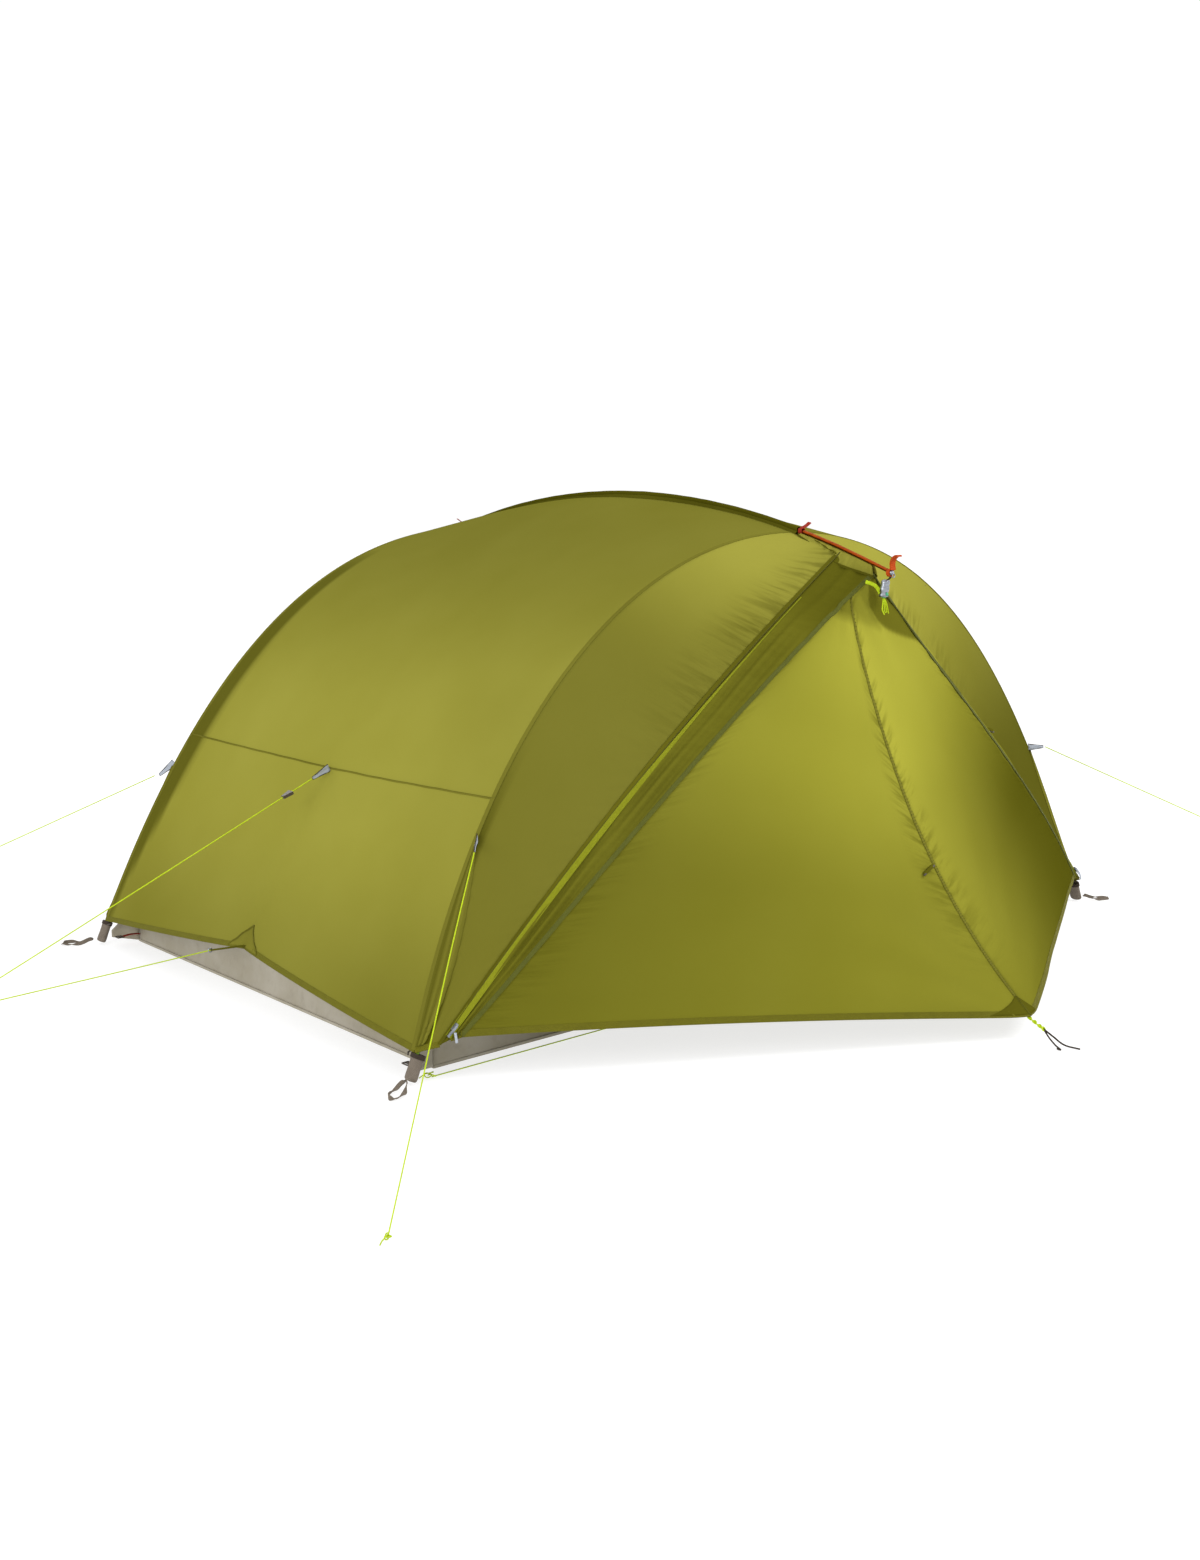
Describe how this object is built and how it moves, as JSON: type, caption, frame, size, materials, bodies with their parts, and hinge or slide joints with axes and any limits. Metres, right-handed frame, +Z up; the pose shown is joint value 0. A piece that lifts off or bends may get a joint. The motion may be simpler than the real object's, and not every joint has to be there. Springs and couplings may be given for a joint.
{
  "type": "dome tent",
  "caption": "Pole-supported dome tent with arch poles, a ridge pole, a fly with zipped vestibules on both long sides, and an inner tent on a floor tub.",
  "frame": {"origin": "on the ground under the tent's centre", "axes": "+Z up, +X along the arch poles, -Y towards the front vestibule"},
  "size_m": [3.6483, 2.8702, 1.1443],
  "materials": {
    "green_pole": "green anodised aluminium tube",
    "orange_pole": "orange anodised aluminium tube",
    "fly_fabric": "olive green silicone-coated ripstop polyester",
    "door_fabric": "olive green silicone-coated ripstop polyester",
    "sleeve_fabric": "doubled olive fabric",
    "inner_fabric": "pale breathable ripstop with mesh",
    "floor_fabric": "grey-taupe coated nylon",
    "webbing": "grey-brown woven webbing",
    "orange_webbing": "orange-red woven webbing",
    "silver_metal": "satin silver",
    "dark_plastic": "dark brown moulded plastic",
    "cord": "fluorescent yellow-green braided cord"
  },
  "bodies": {
    "tent": {"front_arch_pole": "green_pole", "back_arch_pole": "green_pole", "ridge_pole": "orange_pole", "front_left_foot_pocket": "webbing", "front_left_stake_loop": "webbing", "front_left_corner_strap": "webbing", "front_right_foot_pocket": "webbing", "front_right_stake_loop": "webbing", "front_right_corner_strap": "webbing", "back_left_foot_pocket": "webbing", "back_left_stake_loop": "webbing", "back_left_corner_strap": "webbing", "back_right_foot_pocket": "webbing", "back_right_stake_loop": "webbing", "back_right_corner_strap": "webbing", "fly_roof": "fly_fabric", "left_end_panel": "fly_fabric", "right_end_panel": "fly_fabric", "ridge_sleeve": "sleeve_fabric", "front_left_side_panel": "fly_fabric", "front_right_side_panel": "fly_fabric", "back_left_side_panel": "fly_fabric", "back_right_side_panel": "fly_fabric", "front_ridge_clip": "orange_webbing", "front_ridge_cap": "silver_metal", "front_awning_tab": "orange_webbing", "front_awning_buckle": "silver_metal", "front_stake_strap": "webbing", "back_ridge_clip": "orange_webbing", "back_ridge_cap": "silver_metal", "back_awning_tab": "orange_webbing", "back_awning_buckle": "silver_metal", "back_stake_strap": "webbing", "floor_tub": "floor_fabric", "inner_canopy": "inner_fabric", "front_inner_wall": "inner_fabric", "back_inner_wall": "inner_fabric", "front_left_guy": "cord", "front_right_guy": "cord", "back_left_guy": "cord", "left_end_guy": "cord", "hem_cord": "cord", "base_cord": "cord", "front_left_guy_tab": "silver_metal", "front_right_guy_tab": "silver_metal", "back_left_guy_tab": "silver_metal", "back_right_guy_tab": "silver_metal", "left_end_guy_tab": "silver_metal", "right_end_guy_tab": "silver_metal"},
    "front_left_door": {"front_left_door": "door_fabric"},
    "front_left_zip_slider": {"front_left_zip_slider": "silver_metal"},
    "front_right_door": {"front_right_door": "door_fabric"},
    "front_right_zip_slider": {"front_right_zip_slider": "silver_metal"},
    "back_left_door": {"back_left_door": "door_fabric"},
    "back_left_zip_slider": {"back_left_zip_slider": "silver_metal"},
    "back_right_door": {"back_right_door": "door_fabric"},
    "back_right_zip_slider": {"back_right_zip_slider": "silver_metal"},
    "front_inner_door": {"front_inner_door": "inner_fabric"},
    "back_inner_door": {"back_inner_door": "inner_fabric"},
    "left_line_adjuster": {"left_line_adjuster": "dark_plastic"}
  },
  "joints": [
    {"name": "front_left_door_swing", "type": "hinge", "parent": "tent", "child": "front_left_door", "pos_m": [0, -1.319, 0.05], "axis": [0, 0.4537, 0.8912], "range_deg": [0, 95]},
    {"name": "front_right_door_swing", "type": "hinge", "parent": "tent", "child": "front_right_door", "pos_m": [0, -1.319, 0.05], "axis": [0, -0.4537, -0.8912], "range_deg": [0, 95]},
    {"name": "back_left_door_swing", "type": "hinge", "parent": "tent", "child": "back_left_door", "pos_m": [0, 1.319, 0.05], "axis": [0, 0.4537, -0.8912], "range_deg": [0, 95]},
    {"name": "back_right_door_swing", "type": "hinge", "parent": "tent", "child": "back_right_door", "pos_m": [0, 1.319, 0.05], "axis": [0, -0.4537, 0.8912], "range_deg": [0, 95]},
    {"name": "front_left_zip", "type": "hinge", "parent": "tent", "child": "front_left_zip_slider", "pos_m": [4.44041, -0.74565, -5.33695], "axis": [0.025, 0.9995, 0.0214], "range_deg": [0, 8.6]},
    {"name": "front_right_zip", "type": "hinge", "parent": "tent", "child": "front_right_zip_slider", "pos_m": [-4.44041, -0.74565, -5.33695], "axis": [0.025, -0.9995, -0.0214], "range_deg": [0, 8.6]},
    {"name": "back_left_zip", "type": "hinge", "parent": "tent", "child": "back_left_zip_slider", "pos_m": [4.44041, 0.74565, -5.33695], "axis": [-0.025, 0.9995, -0.0214], "range_deg": [0, 8.6]},
    {"name": "back_right_zip", "type": "hinge", "parent": "tent", "child": "back_right_zip_slider", "pos_m": [-4.44041, 0.74565, -5.33695], "axis": [-0.025, -0.9995, 0.0214], "range_deg": [0, 8.6]},
    {"name": "front_inner_door_swing", "type": "hinge", "parent": "tent", "child": "front_inner_door", "pos_m": [0.469, -0.652, 0.1195], "axis": [0, -0.0653, -0.9979], "range_deg": [0, 90]},
    {"name": "back_inner_door_swing", "type": "hinge", "parent": "tent", "child": "back_inner_door", "pos_m": [-0.469, 0.652, 0.1195], "axis": [0, 0.0653, -0.9979], "range_deg": [0, 90]},
    {"name": "left_line_adjust", "type": "slide", "parent": "tent", "child": "left_line_adjuster", "axis": [-0.9142, 0, -0.4052], "range_m": [0, 0.28]}
  ]
}
